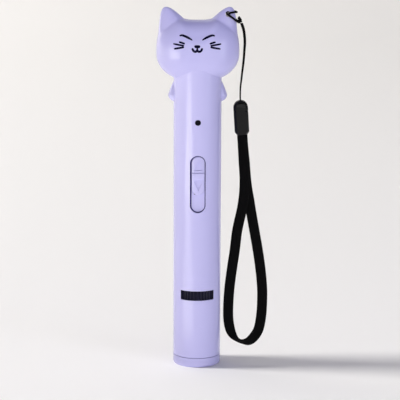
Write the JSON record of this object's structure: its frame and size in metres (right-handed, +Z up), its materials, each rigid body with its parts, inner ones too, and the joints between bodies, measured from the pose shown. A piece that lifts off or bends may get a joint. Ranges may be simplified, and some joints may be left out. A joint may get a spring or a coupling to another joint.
{
  "type": "cat laser pointer",
  "caption": "Hand-held pet toy: a cat-head laser pointer on a round barrel with a thumb slider, a pattern wheel, an indicator dot and a wrist strap.",
  "frame": {"origin": "centre of the foot ring at the lens end, on the surface that the pointer stands on", "axes": "+Z up the barrel to the ears, face towards -Y, +X towards the ear that carries the strap"},
  "size_m": [0.0542, 0.0259, 0.1748],
  "materials": {
    "casing": "satin",
    "black_plastic": "satin",
    "smoked_plastic": "gloss",
    "clear_lens": "polished",
    "pattern_film": "gloss",
    "steel": "satin",
    "brass": "turned",
    "board": "satin",
    "small_parts": "satin",
    "cell_can": "sleeved",
    "wire": "satin",
    "strap_cord": "braided",
    "strap_webbing": "woven"
  },
  "bodies": {
    "pointer": {"front_shell": "casing", "rear_shell": "casing", "head_front": "casing", "head_rear": "casing", "lens_bezel": "casing", "front_lens": "clear_lens", "lens_ring": "black_plastic", "wheel_axle": "steel", "axle_clip": "steel", "detent_spring": "steel", "optics_holder": "black_plastic", "laser_housing": "brass", "laser_lens": "clear_lens", "laser_diode": "steel", "laser_leads": "wire", "main_board": "board", "board_screws": "steel", "control_chip": "black_plastic", "charge_chip": "black_plastic", "board_parts": "small_parts", "status_led": "small_parts", "light_pipe": "smoked_plastic", "switch_body": "steel", "usb_shell": "steel", "usb_tongue": "black_plastic", "battery_cell": "cell_can", "battery_tabs": "steel", "battery_leads": "wire", "strap_hitch": "strap_cord"},
    "slider": {"thumb_slider": "casing", "slider_carrier": "black_plastic", "switch_lever": "black_plastic"},
    "wheel": {"pattern_wheel": "black_plastic", "pattern_films": "pattern_film"},
    "strap": {"strap_cord": "strap_cord", "strap_clasp": "smoked_plastic", "strap_webbing": "strap_webbing"}
  },
  "joints": [
    {"name": "slider_slide", "type": "slide", "parent": "pointer", "child": "slider", "axis": [0, 0, -1], "range_m": [0, 0.0084]},
    {"name": "wheel_spin", "type": "hinge", "parent": "pointer", "child": "wheel", "pos_m": [0, 0, 0.036], "axis": [0, 0, 1], "continuous": true},
    {"name": "strap_swing", "type": "hinge", "parent": "pointer", "child": "strap", "pos_m": [0.0202, 0, 0.1681], "axis": [0, -1, 0], "range_deg": [0, 70]}
  ]
}
